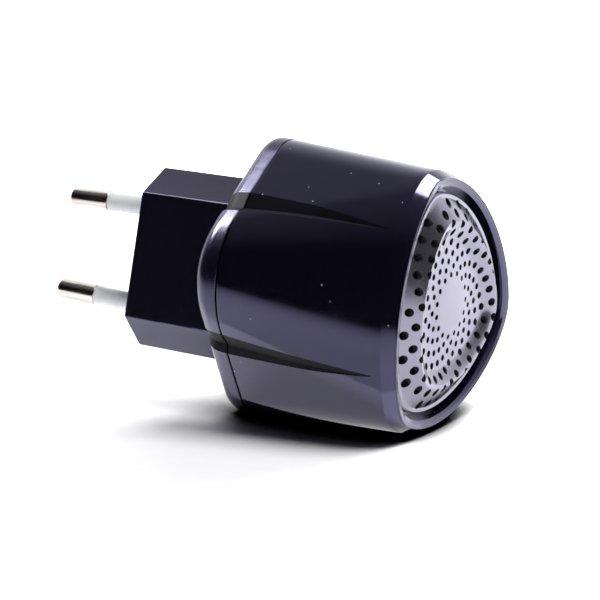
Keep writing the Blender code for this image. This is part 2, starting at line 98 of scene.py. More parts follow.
GRILLE_SIZE = 19.9
GRILLE_LOBE = 1.9
GRILLE_LEVEL = 63.5
GRILLE_DISC = 5.0
GRILLE_DISH = 0.56
GRILLE_DISH_DEPTH = 0.3
GRILLE_CREST = 0.76
GRILLE_CREST_RISE = 1.3
GRILLE_LIP = 0.95
GRILLE_LIP_DROP = 1.2
GRILLE_WALL = 1.1

PIN_RADIUS = 2.0
PIN_LENGTH = 19.0
PIN_BARE = 8.6
PIN_CORE_RADIUS = 1.25
PIN_INNER_END = 10.5
PIN_SPACING_FACE = 18.6
PIN_SPACING_TIP = 17.6
SLEEVE_RADIUS = 1.9
SLEEVE_BORE = 1.55
GAP = 0.3


# ---------------------------------------------------------------- sections of the case

def outline_radius(tangent_distance, angle):
    """Distance from the axis to a convex outline, whose tangent lines are given by their distance."""
    normals = np.radians(np.arange(-80.0, 80.0, 0.1) + angle)
    return float(np.min(tangent_distance(normals) / np.cos(normals - math.radians(angle))))


def rear_tangent(normal):
    ridge = REAR_RIDGE[0] * np.abs(np.sin(normal)) + REAR_RIDGE[1]
    flank = REAR_FLANK[0] * np.abs(np.cos(normal)) + REAR_FLANK[1]
    return np.maximum(ridge, flank)


def lobed_tangent(size, lobe):
    """Three rounded corners, at 60, 180 and 300 degrees, and three bowed sides between them."""
    return lambda normal: size - lobe * np.cos(3 * normal)


def hexagon_tangent(grow):
    """The plug body's section. Its long edges are rounded."""
    half = PLUG_THICKNESS / 2
    corners = [(half, PLUG_FLAT / 2), (half, -PLUG_FLAT / 2), (-half, PLUG_FLAT / 2),
               (-half, -PLUG_FLAT / 2), (0.0, PLUG_WIDTH / 2), (0.0, -PLUG_WIDTH / 2)]

    def tangent(normal):
        reach = [across * np.cos(normal) + along * np.sin(normal) for across, along in corners]
        return np.maximum.reduce(reach) * (1 - PLUG_EDGE / half) + PLUG_EDGE + grow

    return tangent


def along_valley(x):
    """0 at the seam and behind it, and 1 at the valleys' tips and in front of them."""
    return min(1.0, max(0.0, (x - SEAM) / (VALLEY_END - SEAM)))


def valley_edges(x, tip):
    """Angles of a valley's inner edge, of the two ends of its floor, and of its outer edge."""
    share = along_valley(x)
    inner = VALLEY_INNER + (tip - 0.25 - VALLEY_INNER) * share
    outer = VALLEY_OUTER + (tip + 0.25 - VALLEY_OUTER) * share
    wall = (outer - inner) * VALLEY_WALL
    return inner, inner + wall, outer - wall, outer


def half_angles(x, tip):
    """Angles from 0 to 180, closer together at the plug's edges and at the valleys' edges."""
    corner = math.degrees(math.atan2(PLUG_FLAT / 2, PLUG_THICKNESS / 2))
    keys = (0.0,) + valley_edges(x, tip) + (corner - 2.0, corner + 2.0, 88.0, 90.0)
    steps = (16, 2, 8, 2, 8, 12, 14, 6)
    quarter = []
    for start, end, count in zip(keys, keys[1:], steps):
        quarter += [start + (end - start) * i / count for i in range(count)]
    quarter.append(keys[-1])
    return quarter + [180.0 - a for a in reversed(quarter[:-1])]


def section_angles(x):
    upper, lower = (half_angles(x, tip) for tip in VALLEY_TIPS)
    return upper + [360.0 - a for a in reversed(lower[1:-1])]


def valley_cut(angle, x):
    """Depth of a valley. The steep wall is on the lower side of each, and the long slope above it."""
    folded = abs((angle + 90.0) % 180.0 - 90.0)
    depth = VALLEY_DEPTH * (1 - along_valley(x))
    inner, floor_start, floor_end, outer = valley_edges(x, VALLEY_TIPS[angle > 180.0])
    if folded <= inner or folded >= outer:
        return 0.0
    deepest = floor_start if angle < 180.0 else floor_end
    if folded < deepest:
        return depth * (folded - inner) / (deepest - inner)
    return depth * (outer - folded) / (outer - deepest)


def case_ring(x, inward=0.0, place=None):
    """A ring of the case's outside at x, or moved inward, drawn at another place along the axis."""
    share = (x - SEAM) / (SHOULDER - SEAM)
    front_tangent = lobed_tangent(FRONT_SIZE, FRONT_LOBE)

    def tangent(normal):
        return (1 - share) * rear_tangent(normal) + share * front_tangent(normal) - inward - FINE_INSET

    angles = section_angles(x)
    radii = [outline_radius(tangent, a) - valley_cut(a, x) for a in angles]
    return ring(x if place is None else place, angles, radii)


def ring(x, angles, radii):
    turns = np.radians(angles)
    radii = np.array(radii) * MM
    return np.stack([np.full(len(turns), x * MM), -radii * np.cos(turns), radii * np.sin(turns)], 1)


def outline_ring(x, tangent):
    angles = section_angles(x)
    return ring(x, angles, [outline_radius(tangent, a) for a in angles])


def lobed_ring(x, size, lobe):
    return outline_ring(x, lobed_tangent(size, lobe))


def hexagon_ring(x, inward=0.0):
    return outline_ring(x, hexagon_tangent(PLUG_DRAFT * x - inward))


# ---------------------------------------------------------------- making meshes

def grid_mesh(name, rings, endless=False):
    """Skin through rings of points. Its two ends are closed, or joined to each other when endless."""
    points = np.concatenate(rings)
    count = len(rings[0])
    rows = len(rings)
    faces = []
    for row in range(rows if endless else rows - 1):
        after = (row + 1) % rows
        for i in range(count):
            j = (i + 1) % count
            faces.append((row * count + i, row * count + j, after * count + j, after * count + i))
    if not endless:
        faces.append(tuple(reversed(range(count))))
        faces.append(tuple(range((rows - 1) * count, rows * count)))
    mesh = bpy.data.meshes.new(name)
    mesh.from_pydata([tuple(p) for p in points], [], faces)
    bm = bmesh.new()
    bm.from_mesh(mesh)
    bmesh.ops.recalc_face_normals(bm, faces=bm.faces)
    bm.to_mesh(mesh)
    bm.free()
    return mesh


def mark_valleys(mesh, places):
    """Give the faces between the edges of a valley the second finish, which paints them dark as shade. Places are
    the rings' places along X.
    """
    angles = section_angles(SEAM)
    count = len(angles)
    for row, (start, end) in enumerate(zip(places, places[1:])):
        if start < CAP_BACK or start > end or end > VALLEY_END + 1.0:
            continue
        for i in range(count):
            middle = angles[i] + ((angles[(i + 1) % count] - angles[i]) % 360.0) / 2
            folded = abs((middle + 90.0) % 180.0 - 90.0)
            mesh.polygons[row * count + i].material_index = int(VALLEY_INNER < folded < VALLEY_OUTER)


def link(name, mesh):
    obj = bpy.data.objects.new(name, mesh)
    bpy.context.scene.collection.objects.link(obj)
    return obj


def baked(obj):
    """The object's mesh as its modifiers leave it, with the modifiers removed."""
    bpy.context.view_layer.update()
    depsgraph = bpy.context.evaluated_depsgraph_get()
    mesh = bpy.data.meshes.new_from_object(obj.evaluated_get(depsgraph))
    obj.modifiers.clear()
    obj.data = mesh
    return obj


def finish_piece(obj, mats, nodes, crease=7.0, pose=POSE):
    """Put a piece, made in the repeller's own axes, where it lies, and tie it to the frame."""
    obj.data.transform(pose)
    finishes = [face.material_index for face in obj.data.polygons]
    obj.data.materials.clear()
    for mat in mats:
        obj.data.materials.append(mat)
    obj.data.polygons.foreach_set("material_index", finishes)
    obj.data.shade_smooth()
    obj.data.set_sharp_from_angle(angle=math.radians(crease))
    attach(obj, "root")
    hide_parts(*nodes)
    return obj


# ---------------------------------------------------------------- materials

def linear(hex_colour):
    channels = [int(hex_colour[i:i + 2], 16) / 255 for i in (1, 3, 5)]
    return tuple(c / 12.92 if c <= 0.04045 else ((c + 0.055) / 1.055) ** 2.4 for c in channels) + (1.0,)


def add(tree, kind, settings=None, inputs=None):
    """Add a node. An input's value is a plain value or another node's socket."""
    node = tree.nodes.new(kind)
    for key, value in (settings or {}).items():
        setattr(node, key, value)
    for key, value in (inputs or {}).items():
        if isinstance(value, bpy.types.NodeSocket):
            tree.links.new(value, node.inputs[key])
        else:
            node.inputs[key].default_value = value
    return node


def start_material(name, base, roughness, metallic=0.0, **sockets):
    mat = bpy.data.materials.new(name)
    mat.use_nodes = True
    tree = mat.node_tree
    shader = tree.nodes["Principled BSDF"]
    shader.inputs["Base Color"].default_value = linear(base)
    shader.inputs["Roughness"].default_value = roughness
    shader.inputs["Metallic"].default_value = metallic
    for key, value in sockets.items():
        shader.inputs[key.replace("_", " ")].default_value = value
    return mat, tree, shader


def own_coordinates(tree):
    """The repeller's own axes, in millimetres."""
    place = add(tree, "ShaderNodeTexCoord").outputs["Object"]
    turned_back = add(tree, "ShaderNodeMapping", {"vector_type": "TEXTURE"},
                      {"Vector": place, "Location": SOCKET_FACE, "Rotation": LYING_TURN[:]})
    return add(tree, "ShaderNodeVectorMath", {"operation": "SCALE"},
               {0: turned_back.outputs["Vector"], "Scale": 1000.0}).outputs["Vector"]


def noise(tree, place, grain, detail=2.0, stretch=(1.0, 1.0, 1.0)):
    """Noise whose lumps are about grain millimetres across."""
    shaped = add(tree, "ShaderNodeVectorMath", {"operation": "MULTIPLY"}, {0: place, 1: stretch})
    return add(tree, "ShaderNodeTexNoise", None,
               {"Vector": shaped.outputs["Vector"], "Scale": 1.0 / grain, "Detail": detail}).outputs["Fac"]


def spread(tree, value, low, high, start=0.0, end=1.0):
    """Map a value's range between low and high onto start to end."""
    return add(tree, "ShaderNodeMapRange", None,
               {"Value": value, "From Min": low, "From Max": high, "To Min": start, "To Max": end}).outputs[0]


def mixed(tree, factor, colour_a, colour_b):
    mix = add(tree, "ShaderNodeMix", {"data_type": "RGBA"}, {0: factor, 6: colour_a, 7: colour_b})
    return mix.outputs[2]


def sum_of(tree, a, b):
    return add(tree, "ShaderNodeMath", {"operation": "ADD"}, {0: a, 1: b}).outputs[0]


def product_of(tree, a, b):
    return add(tree, "ShaderNodeMath", {"operation": "MULTIPLY"}, {0: a, 1: b}).outputs[0]


def bumped(tree, shader, height, distance_mm, strength=1.0):
    bump = add(tree, "ShaderNodeBump", None,
               {"Height": height, "Distance": distance_mm * MM, "Strength": strength})
    tree.links.new(bump.outputs["Normal"], shader.inputs["Normal"])


def hairlines(tree, place, spacing, length, seed):
    """Fine straight scratches: 1 on a scratch, 0 beside it."""
    shifted = add(tree, "ShaderNodeVectorMath", {"operation": "ADD"}, {0: place, 1: (seed, seed * 0.7, 0.0)})
    turned_place = add(tree, "ShaderNodeMapping", None,
                       {"Vector": shifted.outputs["Vector"], "Rotation": (0.3 * seed, 0.5, 0.9 * seed)})
    lines = noise(tree, turned_place.outputs["Vector"], spacing, 1.0, (spacing / length, 1.0, 1.0))
    thin = spread(tree, lines, 0.685, 0.70)
    patches = spread(tree, noise(tree, place, 6.0, 1.0), 0.52, 0.62)
    return product_of(tree, thin, patches)


def dust(tree, place, cell, size):
    """Sparse specks, 1 on a speck."""
    cells = add(tree, "ShaderNodeTexVoronoi", None, {"Vector": place, "Scale": 1.0 / cell})
    near = spread(tree, cells.outputs["Distance"], size / cell, 0.6 * size / cell)
    few = add(tree, "ShaderNodeSeparateColor", None, {0: cells.outputs["Color"]}).outputs[0]
    return product_of(tree, near, spread(tree, few, 0.78, 0.80))


SHEEN = "#C9C3F2"            # the pigment's violet cast, which shows in every reflection


def painted_shade_abs():
    """The same ABS in the valleys, as painted shade: a low specular level and a high roughness make it reflect
    little, so that it reads as dark.
    """
    mat, tree, shader = start_material("valley_painted_shade_abs", "#08060F", 0.5, IOR=1.54)
    shader.inputs["Specular IOR Level"].default_value = 0.12
    place = own_coordinates(tree)
    grain = noise(tree, place, 0.3, 3.0)
    tree.links.new(mixed(tree, grain, linear("#06050D"), linear("#0D0B18")), shader.inputs["Base Color"])
    tree.links.new(spread(tree, grain, 0.3, 0.7, 0.44, 0.6), shader.inputs["Roughness"])
    bumped(tree, shader, grain, 0.010)
    return mat


def glossy_abs():
    """Navy-black ABS from a polished mould: deep gloss, with handling scratches and dust specks."""
    mat, tree, shader = start_material("polished_moulded_abs", "#05040F", 0.12, IOR=1.66)
    shader.inputs["Specular IOR Level"].default_value = 0.9
    shader.inputs["Specular Tint"].default_value = linear(SHEEN)
    place = own_coordinates(tree)
    scratches = hairlines(tree, place, 0.16, 5.0, 1.0)
    crossing = hairlines(tree, place, 0.14, 3.5, 2.3)
    worn = sum_of(tree, scratches, crossing)
    specks = dust(tree, place, 2.3, 0.15)
    body = mixed(tree, noise(tree, place, 14.0), linear("#090714"), linear("#0D0B1C"))
    scratched = mixed(tree, product_of(tree, worn, 0.12), body, linear("#4A4762"))
    dusty = mixed(tree, specks, scratched, linear("#CFCDD6"))
    tree.links.new(dusty, shader.inputs["Base Color"])
    rough = spread(tree, noise(tree, place, 3.0, 3.0), 0.3, 0.7, 0.09, 0.13)
    tree.links.new(sum_of(tree, rough, product_of(tree, worn, 0.08)), shader.inputs["Roughness"])
    waviness = noise(tree, place, 2.5, 1.0)
    relief = sum_of(tree, waviness, product_of(tree, worn, -0.15))
    bumped(tree, shader, relief, 0.008)
    return mat


def textured_abs():
    """The same ABS from a spark-eroded mould: a fine even grain that breaks highlights into sparkle.
    The real grain is about 0.05 mm and is drawn at 0.28 mm, so that it shows. The plug body's is finer."""
    mat, tree, shader = start_material("spark_textured_abs", "#08060F", 0.22, IOR=1.66)
    shader.inputs["Specular IOR Level"].default_value = 0.9
    shader.inputs["Specular Tint"].default_value = linear(SHEEN)
    place = own_coordinates(tree)
    grain = noise(tree, place, 0.28, 3.0)
    body = mixed(tree, noise(tree, place, 10.0), linear("#05040D"), linear("#080613"))
    specks = dust(tree, place, 2.6, 0.09)
    tree.links.new(mixed(tree, specks, body, linear("#8D8A9C")), shader.inputs["Base Color"])
    tree.links.new(spread(tree, grain, 0.3, 0.7, 0.18, 0.26), shader.inputs["Roughness"])
    along = add(tree, "ShaderNodeSeparateXYZ", None, {0: place}).outputs["X"]
    coarse = spread(tree, along, 20.5, 22.5, 0.5, 2.6)
    bumped(tree, shader, product_of(tree, grain, coarse), 0.010)
    return mat


def satin_paint():
    """Lavender-grey metallic paint on the grille: a satin sheen and a fine flake."""
    mat, tree, shader = start_material("satin_metallic_paint", "#84828F", 0.2, 0.9)
    place = own_coordinates(tree)
    flake = noise(tree, place, 0.22, 2.0)
    tone = sum_of(tree, product_of(tree, flake, 0.5), product_of(tree, noise(tree, place, 5.0), 0.5))
    tree.links.new(mixed(tree, tone, linear("#7A7886"), linear("#908E9B")), shader.inputs["Base Color"])
    tree.links.new(spread(tree, flake, 0.3, 0.7, 0.16, 0.24), shader.inputs["Roughness"])
    bumped(tree, shader, flake, 0.006)
    return mat


def nickel():
    """Bright nickel plate on turned brass: faint rings from the lathe, and rubs along the pin."""
    mat, tree, shader = start_material("nickel_plated_brass", "#CFC6BF", 0.2, 1.0)
    place = own_coordinates(tree)
    rings = noise(tree, place, 0.12, 2.0, (1.0, 0.02, 0.02))
    rubs = noise(tree, place, 0.35, 2.0, (0.06, 1.0, 1.0))
    tone = spread(tree, rubs, 0.35, 0.65)
    tree.links.new(mixed(tree, tone, linear("#B8AEA8"), linear("#DCD5CF")), shader.inputs["Base Color"])
    rough = sum_of(tree, spread(tree, rings, 0.3, 0.7, 0.04, 0.12), spread(tree, rubs, 0.3, 0.7, 0.08, 0.16))
    tree.links.new(rough, shader.inputs["Roughness"])
    bumped(tree, shader, rings, 0.006)
    return mat


def sleeve_nylon():
    """White nylon sleeves, a little translucent, with dull handling marks."""
    mat, tree, shader = start_material("white_nylon", "#E9EBEE", 0.34)
    shader.inputs["Subsurface Weight"].default_value = 0.25
    shader.inputs["Subsurface Radius"].default_value = (0.6 * MM, 0.6 * MM, 0.6 * MM)
    shader.inputs["Subsurface Scale"].default_value = 1.0
    place = own_coordinates(tree)
    marks = noise(tree, place, 1.4, 3.0)
    tree.links.new(mixed(tree, marks, linear("#ECEEF0"), linear("#FAFAFB")), shader.inputs["Base Color"])
    tree.links.new(spread(tree, marks, 0.3, 0.7, 0.28, 0.42), shader.inputs["Roughness"])
    bumped(tree, shader, noise(tree, place, 0.4), 0.006)
    return mat


def inner_material(name, dark, light, roughness, metallic, grain, relief, stretch=(1.0, 1.0, 1.0)):
    """A part inside the case: two tones in its own grain, and a matching roughness and relief."""
    mat, tree, shader = start_material(name, light, roughness, metallic)
    place = own_coordinates(tree)
    pattern = noise(tree, place, grain, 3.0, stretch)
    tone = spread(tree, pattern, 0.3, 0.7)
    tree.links.new(mixed(tree, tone, linear(dark), linear(light)), shader.inputs["Base Color"])
    tree.links.new(spread(tree, pattern, 0.3, 0.7, roughness * 0.85, min(1.0, roughness * 1.15)),
                   shader.inputs["Roughness"])
    bumped(tree, shader, pattern, relief)
    return mat


def woven_screen():
    """Black acoustic cloth behind the grille: a plain weave of matt threads, 0.5 mm apart."""
    mat, tree, shader = start_material("acoustic_cloth", "#0B0B0C", 0.95)
    place = own_coordinates(tree)
    threads = []
    for direction in ("Y", "Z"):
        wave = add(tree, "ShaderNodeTexWave", {"bands_direction": direction},
                   {"Vector": place, "Scale": 0.63, "Distortion": 0.4})
        threads.append(wave.outputs["Fac"])
    weave = product_of(tree, *threads)
    tree.links.new(mixed(tree, weave, linear("#060607"), linear("#161618")), shader.inputs["Base Color"])
    tree.links.new(spread(tree, weave, 0.0, 1.0, 0.85, 1.0), shader.inputs["Roughness"])
    bumped(tree, shader, weave, 0.08)
    return mat


INNER_FINISHES = {
    # slot: name, dark tone, light tone, roughness, metallic, grain in mm, relief in mm
    "carrier_plastic": ("ivory_polyamide", "#CFC8B4", "#DDD7C6", 0.5, 0.0, 0.8, 0.010),
    "brown_insulation": ("brown_pvc", "#5B3420", "#704530", 0.45, 0.0, 0.7, 0.008),
    "blue_insulation": ("blue_pvc", "#234C8F", "#3060AB", 0.45, 0.0, 0.7, 0.008),
    "red_insulation": ("red_pvc", "#A31C1C", "#BC2A28", 0.45, 0.0, 0.7, 0.008),
    "black_insulation": ("black_pvc", "#161616", "#242424", 0.45, 0.0, 0.7, 0.008),
    "board_laminate": ("solder_masked_laminate", "#1E5A2E", "#2B7440", 0.4, 0.0, 0.6, 0.010),
    "capacitor_box": ("yellow_polyester_case", "#B08A1E", "#C49D2C", 0.35, 0.0, 1.2, 0.008),
    "resistor_coat": ("cement_coat", "#7587A0", "#8D9DB3", 0.55, 0.0, 0.3, 0.020),
    "chip_resin": ("black_epoxy", "#19191A", "#262628", 0.55, 0.0, 0.15, 0.008),
    "can_sleeve": ("dark_shrink_sleeve", "#20203A", "#2B2B48", 0.3, 0.0, 1.5, 0.010),
    "orange_glass": ("orange_glass_bead", "#A84F1C", "#C46A30", 0.12, 0.0, 1.0, 0.004),
    "ferrite": ("sintered_ferrite", "#2E2D2D", "#434141", 0.7, 0.0, 0.2, 0.015),
    "magnet_wire": ("enamelled_copper_winding", "#7C3B1C", "#C0703C", 0.28, 1.0, 0.25, 0.080),
    "holder_plastic": ("black_polycarbonate", "#1B1B1D", "#28282B", 0.45, 0.0, 0.9, 0.010),
    "brass_sheet": ("rolled_brass_sheet", "#B89A55", "#D6BC7A", 0.28, 1.0, 0.4, 0.006),
    "silvered_ceramic": ("silver_fired_ceramic", "#C4C4C0", "#DADAD6", 0.45, 0.6, 0.25, 0.010),
    "foam": ("closed_cell_foam", "#1A1A1B", "#2A2A2C", 0.95, 0.0, 0.35, 0.120),
}


def finish_inner_parts():
    """Every part inside keeps its CAD shape and gets the finish of its own material."""
    made = {slot: inner_material(*values) for slot, values in INNER_FINISHES.items()}
    made["screen_cloth"] = woven_screen()
    for part in frame["record"]["subparts"]:
        if part["material_slot"] in made:
            obj = frame["nodes"][part["node"]]
            obj.data.materials.clear()
            obj.data.materials.append(made[part["material_slot"]])


# ---------------------------------------------------------------- case

def quarter_turn(count):
    return [math.pi / 2 * (i + 1) / count for i in range(count)]


def pin_height(x):
    lean = (PIN_SPACING_FACE - PIN_SPACING_TIP) / 2 / PIN_LENGTH
    return PIN_SPACING_FACE / 2 + lean * x


def bore_pin_holes(obj):
    bm = bmesh.new()
    for side in (1, -1):
        start = Vector((-1.0, 0, side * pin_height(-1.0))) * MM
        end = Vector((PLUG_WALL + 1, 0, side * pin_height(PLUG_WALL + 1))) * MM
        turn = (end - start).to_track_quat("Z", "Y").to_matrix().to_4x4()
        bmesh.ops.create_cone(bm, cap_ends=True, segments=48, radius1=(SLEEVE_RADIUS + GAP) * MM,
                              radius2=(SLEEVE_RADIUS + GAP) * MM, depth=(end - start).length,
                              matrix=Matrix.Translation((start + end) / 2) @ turn)
    mesh = bpy.data.meshes.new("pin_holes")
    bm.to_mesh(mesh)
    bm.free()
    tool = link("pin_holes", mesh)
    cut = obj.modifiers.new("pin_holes", "BOOLEAN")
    cut.object = tool
    cut.solver = "EXACT"
    baked(obj)
    bpy.data.objects.remove(tool)


def make_rear_cap(mats):
    rings = []
    for turn in [0.0] + quarter_turn(4):
        rings.append(hexagon_ring(FACE_EDGE * (1 - math.cos(turn)), FACE_EDGE * (1 - math.sin(turn))))
    rings += [hexagon_ring(x) for x in (8.0, 15.0, CAP_BACK - 0.6)]
    for turn in quarter_turn(4):
        rings.append(hexagon_ring(CAP_BACK - 0.6 + 0.6 * math.sin(turn), -0.6 * (1 - math.cos(turn))))
    rings.append(case_ring(CAP_BACK, CAP_EDGE_ROUNDING))
    for turn in quarter_turn(18):
        x = CAP_BACK + CAP_EDGE_ROUNDING * (1 - math.cos(turn))
        rings.append(case_ring(x, CAP_EDGE_ROUNDING * (1 - math.sin(turn))))
    edge = SEAM - SEAM_GAP / 2
    rings.append(case_ring(edge - SEAM_EDGE))
    for turn in quarter_turn(3):
        rings.append(case_ring(edge - SEAM_EDGE * (1 - math.sin(turn)), SEAM_EDGE * (1 - math.cos(turn))))
    rings.append(case_ring(edge, WALL))
    floor = CAP_BACK + WALL
    rings.append(case_ring(SEAM, WALL + 1.0, floor))
    rings.append(hexagon_ring(floor, PLUG_WALL))
    rings.append(hexagon_ring(PLUG_WALL, PLUG_WALL))
    mesh = grid_mesh("rear_cap_moulding", rings)
    outside = [r[0][0] / MM for r in rings[:-4]]
    mark_valleys(mesh, outside)
    cap = link("rear_cap_moulding", mesh)
    bore_pin_holes(cap)
    return finish_piece(cap, mats, ["rear_cap"])


def make_barrel(mats):
    start = SEAM + SEAM_GAP / 2
    rings = []
    for turn in [0.0] + quarter_turn(3):
        rings.append(case_ring(start + SEAM_EDGE * (1 - math.cos(turn)), SEAM_EDGE * (1 - math.sin(turn))))
    rings += [case_ring(x) for x in np.linspace(start + 2.0, CHAMFER_START - 0.2, 20)]
    outside = [r[0][0] / MM for r in rings]
    rings.append(case_ring(CHAMFER_START, 0.02))
    side = FRONT_SIZE - FINE_INSET
    chamfer_end = RIM_CREST - 0.35
    for share in (0.08, 0.5, 1.0):
        x = CHAMFER_START + (chamfer_end - CHAMFER_START) * share
        rings.append(lobed_ring(x, side - CHAMFER_INWARD * share, FRONT_LOBE))
    crest = side - CHAMFER_INWARD - RIM_CREST_SIZE
    for turn in quarter_turn(12):
        rings.append(lobed_ring(chamfer_end + 0.35 * math.sin(turn),
                                RIM_CREST_SIZE + crest * math.cos(turn), FRONT_LOBE))
    for share in (0.06, 0.5, 0.9):
        size = RIM_CREST_SIZE + (RIM_EDGE_SIZE - RIM_CREST_SIZE) * share
        lobe = FRONT_LOBE + (OPENING_LOBE - FRONT_LOBE) * share
        rings.append(lobed_ring(RIM_CREST + (RIM_EDGE - RIM_CREST) * share ** 1.5, size, lobe))
    rings.append(lobed_ring(LEDGE_FRONT, RIM_EDGE_SIZE, OPENING_LOBE))
    rings.append(lobed_ring(LEDGE_FRONT, LEDGE_SIZE, OPENING_LOBE))
    rings.append(lobed_ring(LEDGE_BACK, LEDGE_SIZE, OPENING_LOBE))
    rings += [case_ring(x, WALL) for x in (LEDGE_BACK, 45.0, start)]
    mesh = grid_mesh("barrel_moulding", rings, endless=True)
    mark_valleys(mesh, outside)
    barrel = link("barrel_moulding", mesh)
    return finish_piece(barrel, mats, ["front_shell"])


# ---------------------------------------------------------------- grille

def grille_height(share, radius):
    """Front of the grille, above its middle disc: a dish, a crest round it, and a slope to the lip."""
    if radius <= GRILLE_DISC:
        return 0.0
    if share <= GRILLE_DISH:
        reach = radius / share * GRILLE_DISH
        return -GRILLE_DISH_DEPTH * math.sin(math.pi / 2 * min(1.0, 3 * (radius - GRILLE_DISC) / reach))
    if share <= GRILLE_CREST:
        climb = (share - GRILLE_DISH) / (GRILLE_CREST - GRILLE_DISH)
        rise = GRILLE_CREST_RISE + GRILLE_DISH_DEPTH
        return rise * (1 - math.cos(math.pi * climb)) / 2 - GRILLE_DISH_DEPTH
    if share >= GRILLE_LIP:
        return -GRILLE_LIP_DROP
    fall = (share - GRILLE_CREST) / (GRILLE_LIP - GRILLE_CREST)
    return GRILLE_CREST_RISE - (GRILLE_CREST_RISE + GRILLE_LIP_DROP) * fall


GRILLE_ANGLES = np.linspace(0.0, 360.0, 180, endpoint=False)
GRILLE_OUTLINE = [outline_radius(lobed_tangent(GRILLE_SIZE, GRILLE_LOBE), a) for a in GRILLE_ANGLES]


def grille_ring(share, drop, inset=0.0):
    """A ring at a share of the outline. Near the middle it is round: a share of 0 is the flat disc's edge."""
    points = []
    for outline, angle in zip(GRILLE_OUTLINE, GRILLE_ANGLES):
        radius = max(GRILLE_DISC, share * outline) - inset
        turn = math.radians(angle)
        x = GRILLE_LEVEL + grille_height(share, radius) - drop
        points.append((x * MM, -radius * math.cos(turn) * MM, radius * math.sin(turn) * MM))
    return np.array(points)


def grille_body():
    shares = [0.0] + list(np.linspace(0.31, GRILLE_DISH, 6)) + list(np.linspace(GRILLE_DISH, GRILLE_CREST, 9))[1:]
    shares += list(np.linspace(GRILLE_CREST, GRILLE_LIP, 8))[1:] + [0.985]
    front = [grille_ring(share, 0.0) for share in shares]
    edge = [grille_ring(1.0, 0.25)]
    back = [grille_ring(share, GRILLE_WALL) for share in [1.0] + list(reversed(shares))]
    return grid_mesh("grille_cover", front + edge + back)


def perforation_tree():
    """Cuts rings of round holes, each ring turned a little from the one inside it, out of a lobed plate."""
    tree = bpy.data.node_groups.new("ring_perforations", "GeometryNodeTree")
    face = tree.interface
    face.new_socket("Geometry", in_out="INPUT", socket_type="NodeSocketGeometry")
    face.new_socket("Geometry", in_out="OUTPUT", socket_type="NodeSocketGeometry")
    for name in ("Rings", "Holes per ring"):
        face.new_socket(name, in_out="INPUT", socket_type="NodeSocketInt")
    for name in ("First angle", "Ring turn", "First ring", "Ring step", "Ring power", "Smallest hole",
                 "Largest hole", "Plate size", "Plate lobe", "Plate border", "Plate level"):
        face.new_socket(name, in_out="INPUT", socket_type="NodeSocketFloat")
    face.new_socket("Finish", in_out="INPUT", socket_type="NodeSocketMaterial")
    given = tree.nodes.new("NodeGroupInput").outputs

    def calc(operation, a, b=0.0):
        return add(tree, "ShaderNodeMath", {"operation": operation}, {0: a, 1: b}).outputs[0]

    total = calc("MULTIPLY", given["Rings"], given["Holes per ring"])
    points = add(tree, "GeometryNodeMeshLine", None, {"Count": total})
    index = add(tree, "GeometryNodeInputIndex").outputs[0]
    row = calc("FLOOR", calc("DIVIDE", index, given["Holes per ring"]))
    radius = calc("ADD", given["First ring"], calc("MULTIPLY", given["Ring step"],
                                                   calc("POWER", row, given["Ring power"])))
    even = calc("MULTIPLY", index, calc("DIVIDE", math.tau, given["Holes per ring"]))
    angle = calc("ADD", calc("ADD", even, given["First angle"]), calc("MULTIPLY", row, given["Ring turn"]))
    share = calc("DIVIDE", row, calc("SUBTRACT", given["Rings"], 1.0))
    growth = calc("MULTIPLY", share, calc("SUBTRACT", given["Largest hole"], given["Smallest hole"]))
    hole = calc("ADD", given["Smallest hole"], growth)
    lobe = calc("MULTIPLY", given["Plate lobe"], calc("COSINE", calc("MULTIPLY", angle, 3.0)))
    limit = calc("SUBTRACT", given["Plate size"], lobe)
    reach = calc("ADD", radius, hole)
    outside = add(tree, "FunctionNodeCompare", {"data_type": "FLOAT", "operation": "GREATER_THAN"},
                  {0: reach, 1: calc("MULTIPLY", limit, given["Plate border"])}).outputs[0]
    across = calc("MULTIPLY", calc("MULTIPLY", radius, -1.0), calc("COSINE", angle))
    along = calc("MULTIPLY", radius, calc("SINE", angle))
    spot = add(tree, "ShaderNodeCombineXYZ", None, {"X": given["Plate level"], "Y": across, "Z": along})
    moved = add(tree, "GeometryNodeSetPosition", None,
                {"Geometry": points.outputs["Mesh"], "Position": spot.outputs[0]})
    size = add(tree, "ShaderNodeCombineXYZ", None, {"X": hole, "Y": hole, "Z": 1.0}).outputs[0]
    stored = add(tree, "GeometryNodeStoreNamedAttribute", {"data_type": "FLOAT_VECTOR", "domain": "POINT"},
                 {"Geometry": moved.outputs[0], "Name": "drill_size", "Value": size})
    kept = add(tree, "GeometryNodeDeleteGeometry", {"domain": "POINT"},
               {"Geometry": stored.outputs[0], "Selection": outside})
    drill = add(tree, "GeometryNodeMeshCylinder", None,
                {"Vertices": 24, "Radius": 1.0, "Depth": 6.0 * MM}).outputs["Mesh"]
    drill_size = add(tree, "GeometryNodeInputNamedAttribute", {"data_type": "FLOAT_VECTOR"},
                     {"Name": "drill_size"}).outputs[0]
    drills = add(tree, "GeometryNodeInstanceOnPoints", None,
                 {"Points": kept.outputs[0], "Instance": drill, "Rotation": (0.0, math.pi / 2, 0.0),
                  "Scale": drill_size})
    solid = add(tree, "GeometryNodeRealizeInstances", None, {0: drills.outputs[0]})
    cut = add(tree, "GeometryNodeMeshBoolean", {"operation": "DIFFERENCE", "solver": "EXACT"},
              {"Mesh 1": given["Geometry"]})
    tree.links.new(solid.outputs[0], cut.inputs["Mesh 2"])
    plain = add(tree, "GeometryNodeRealizeInstances", None, {0: cut.outputs["Mesh"]})
    finish = add(tree, "GeometryNodeSetMaterial", None,
                 {"Geometry": plain.outputs[0], "Material": given["Finish"]})
    tree.links.new(finish.outputs[0], tree.nodes.new("NodeGroupOutput").inputs[0])
    return tree


